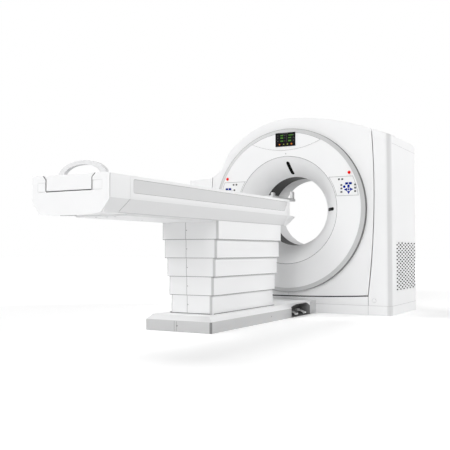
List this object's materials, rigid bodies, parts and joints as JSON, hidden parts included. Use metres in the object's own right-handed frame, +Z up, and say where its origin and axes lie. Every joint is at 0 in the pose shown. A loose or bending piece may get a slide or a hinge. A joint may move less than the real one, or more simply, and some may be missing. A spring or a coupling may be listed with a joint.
{
  "type": "ct scanner",
  "caption": "Computed-tomography scanner with a tilting ring gantry between two towers and a patient table that lifts on a telescoping pedestal and slides its cradle into the bore.",
  "frame": {"origin": "on the floor, straight below the isocentre where the tilt axis crosses the bore axis", "axes": "+X across the table to the right as seen from its foot end, +Y along the table into the bore, +Z up"},
  "size_m": [2.229, 4.11, 1.9328],
  "materials": {
    "cover_white": "satin",
    "rim_grey": "satin",
    "panel_white": "matte",
    "screen_black": "gloss",
    "window_dark": "satin",
    "laser_black": "gloss",
    "stop_red": "gloss",
    "strip_grey": "matte",
    "table_white": "satin",
    "cradle_grey": "matte",
    "base_grey": "satin",
    "bay_black": "matte",
    "pedal_white": "satin",
    "vent_dark": "matte",
    "frame_steel": "satin",
    "bearing_steel": "satin",
    "rotor_alu": "satin",
    "column_alu": "satin",
    "tube_steel": "satin"
  },
  "bodies": {
    "base": {"gantry_floor_frame": "frame_steel", "stand_right": "frame_steel", "stand_left": "frame_steel", "front_plinth": "cover_white", "lower_plinth": "cover_white", "rear_plinth": "cover_white", "skirt_right": "cover_white", "skirt_left": "cover_white", "tower_cover_right": "cover_white", "tower_cap_right": "cover_white", "tower_cover_left": "cover_white", "side_vent_grille": "vent_dark", "table_base_plate": "frame_steel", "base_cover_left": "base_grey", "base_cover_right": "base_grey", "pedal_bay": "bay_black", "bridge_cover": "cover_white", "pedestal_shell_5": "table_white", "lift_column_outer": "column_alu"},
    "tilting_gantry": {"tilt_frame": "frame_steel", "body_shell": "cover_white", "rear_cover": "cover_white", "disc_face": "cover_white", "disc_rim": "rim_grey", "disc_crest": "cover_white", "display_screen": "screen_black", "control_panel_left": "panel_white", "control_panel_right": "panel_white", "front_funnel": "cover_white", "laser_windows": "laser_black", "scan_window": "window_dark", "rear_bore": "rim_grey", "rear_funnel": "rim_grey", "main_bearing": "bearing_steel"},
    "rotor": {"rotor_drum": "rotor_alu", "xray_tube_unit": "tube_steel", "detector_arc": "rotor_alu"},
    "stop_left": {"stop_button_left": "stop_red"},
    "stop_right": {"stop_button_right": "stop_red"},
    "table_top": {"tub_pan": "table_white", "side_strip_left": "strip_grey", "side_strip_right": "strip_grey", "side_block_left": "table_white", "side_block_right": "table_white", "tub_nose": "table_white", "end_cover": "table_white", "tub_underside": "table_white", "pedestal_shell_1": "table_white", "lift_column_inner": "column_alu"},
    "sliding_cradle": {"cradle": "cradle_grey", "cradle_end_block": "table_white", "cradle_handle": "table_white", "head_plate": "cradle_grey", "head_cheeks": "cradle_grey"},
    "column_stage": {"lift_column_middle": "column_alu"},
    "shell_two": {"pedestal_shell_2": "table_white"},
    "shell_three": {"pedestal_shell_3": "table_white"},
    "shell_four": {"pedestal_shell_4": "table_white"},
    "pedal_one": {"pedal_foot": "pedal_white"},
    "pedal_two": {"pedal_head": "pedal_white"}
  },
  "joints": [
    {"name": "gantry_tilt", "type": "hinge", "parent": "base", "child": "tilting_gantry", "pos_m": [0, 0, 1.01], "axis": [-1, 0, 0], "range_deg": [-30, 30]},
    {"name": "rotor_spin", "type": "hinge", "parent": "tilting_gantry", "child": "rotor", "pos_m": [0, 0, 1.01], "axis": [0, 1, 0], "continuous": true},
    {"name": "stop_left_press", "type": "slide", "parent": "tilting_gantry", "child": "stop_left", "axis": [0, 1, 0], "range_m": [0, 0.005], "stiffness_N_per_m": 1500},
    {"name": "stop_right_press", "type": "slide", "parent": "tilting_gantry", "child": "stop_right", "axis": [0, 1, 0], "range_m": [0, 0.005], "stiffness_N_per_m": 1500},
    {"name": "table_lift", "type": "slide", "parent": "base", "child": "table_top", "axis": [0, 0, 1], "range_m": [-0.52, 0]},
    {"name": "column_follow", "type": "slide", "parent": "base", "child": "column_stage", "axis": [0, 0, 1], "range_m": [-0.26, 0]},
    {"name": "shell_two_follow", "type": "slide", "parent": "base", "child": "shell_two", "axis": [0, 0, 1], "range_m": [-0.39, 0]},
    {"name": "shell_three_follow", "type": "slide", "parent": "base", "child": "shell_three", "axis": [0, 0, 1], "range_m": [-0.26, 0]},
    {"name": "shell_four_follow", "type": "slide", "parent": "base", "child": "shell_four", "axis": [0, 0, 1], "range_m": [-0.13, 0]},
    {"name": "cradle_slide", "type": "slide", "parent": "table_top", "child": "sliding_cradle", "axis": [0, 1, 0], "range_m": [0, 1.6]},
    {"name": "pedal_foot_press", "type": "hinge", "parent": "base", "child": "pedal_one", "pos_m": [0.214, -0.742, 0.046], "axis": [0, 1, 0], "range_deg": [0, 5], "stiffness_Nm_per_rad": 20, "springref_deg": -1.72},
    {"name": "pedal_head_press", "type": "hinge", "parent": "base", "child": "pedal_two", "pos_m": [0.214, -0.554, 0.046], "axis": [0, 1, 0], "range_deg": [0, 5], "stiffness_Nm_per_rad": 20, "springref_deg": -1.72}
  ],
  "couplings": [
    {"joint": "column_follow", "follows": "table_lift", "ratio": 0.5},
    {"joint": "shell_two_follow", "follows": "table_lift", "ratio": 0.75},
    {"joint": "shell_three_follow", "follows": "table_lift", "ratio": 0.5},
    {"joint": "shell_four_follow", "follows": "table_lift", "ratio": 0.25}
  ]
}
